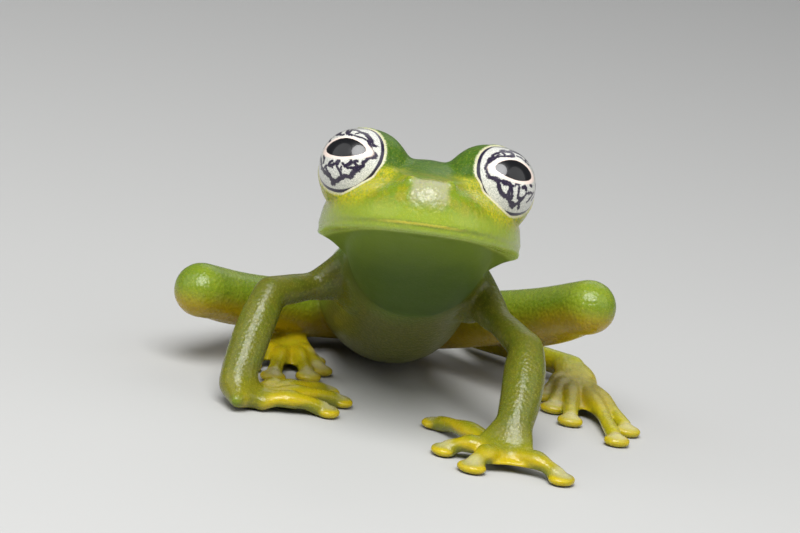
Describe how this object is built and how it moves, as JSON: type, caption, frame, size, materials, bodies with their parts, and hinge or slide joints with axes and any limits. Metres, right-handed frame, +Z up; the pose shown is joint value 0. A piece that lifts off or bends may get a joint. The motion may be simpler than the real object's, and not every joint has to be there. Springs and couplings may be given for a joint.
{
  "type": "glass frog figure",
  "caption": "Life-size glass frog sitting on spread hands and feet, head raised, large black-and-white eyes facing forwards, discs on its fingers and toes.",
  "frame": {"origin": "middle of the footprint's bounding box, on the floor that the frog sits on", "axes": "+Z up, +X towards the frog's own left side, -Y the way the frog faces"},
  "size_m": [0.0282, 0.0298, 0.0173],
  "materials": {
    "green_skin": "moist, fine-grained skin",
    "throat_skin": "moist, smooth skin",
    "limb_skin": "moist, translucent skin",
    "digit_skin": "moist, translucent skin",
    "eye": "wet and glossy"
  },
  "bodies": {
    "root": {"head": "green_skin", "lower_jaw": "throat_skin", "trunk": "green_skin", "eye_right": "eye", "upper_arm_right": "limb_skin", "forearm_right": "limb_skin", "hand_right": "digit_skin", "thigh_right": "limb_skin", "shin_right": "limb_skin", "tarsus_right": "digit_skin", "foot_right": "digit_skin", "eye_left": "eye", "upper_arm_left": "limb_skin", "forearm_left": "limb_skin", "hand_left": "digit_skin", "thigh_left": "limb_skin", "shin_left": "limb_skin", "tarsus_left": "digit_skin", "foot_left": "digit_skin"}
  },
  "joints": []
}
